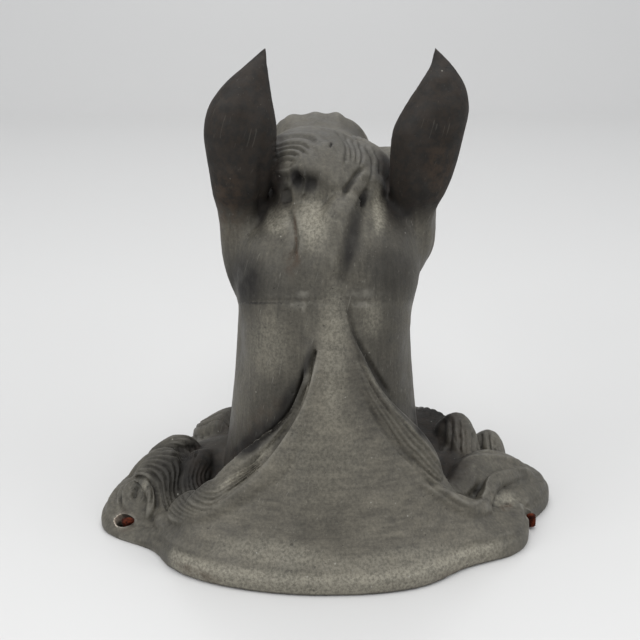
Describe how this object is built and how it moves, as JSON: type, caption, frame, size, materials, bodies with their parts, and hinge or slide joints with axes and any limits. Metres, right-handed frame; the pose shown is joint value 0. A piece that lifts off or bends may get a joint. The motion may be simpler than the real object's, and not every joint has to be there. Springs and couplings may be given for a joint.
{
  "type": "horse head wall sculpture",
  "caption": "Cast metal horse head for a wall: curved neck with a crest, upright ears, forelock, and a mane spread round the neck's foot as a flat-backed flange of locks.",
  "frame": {"origin": "on the flat wall face, below the poll of the head", "axes": "+Z out of the wall, +Y from the crest of the neck towards the muzzle, +X to the right seen from the crest"},
  "size_m": [0.362, 0.4696, 0.369],
  "materials": {
    "patinated_metal": "cast, dark grey patina, matt to satin, browner on the ears and lighter on the crest's skirt",
    "rusted_iron": "rusted through, red brown"
  },
  "bodies": {
    "root": {"horse_head_casting": "patinated_metal", "left_fixing_bolt": "rusted_iron", "right_fixing_bolt": "rusted_iron"}
  },
  "joints": []
}
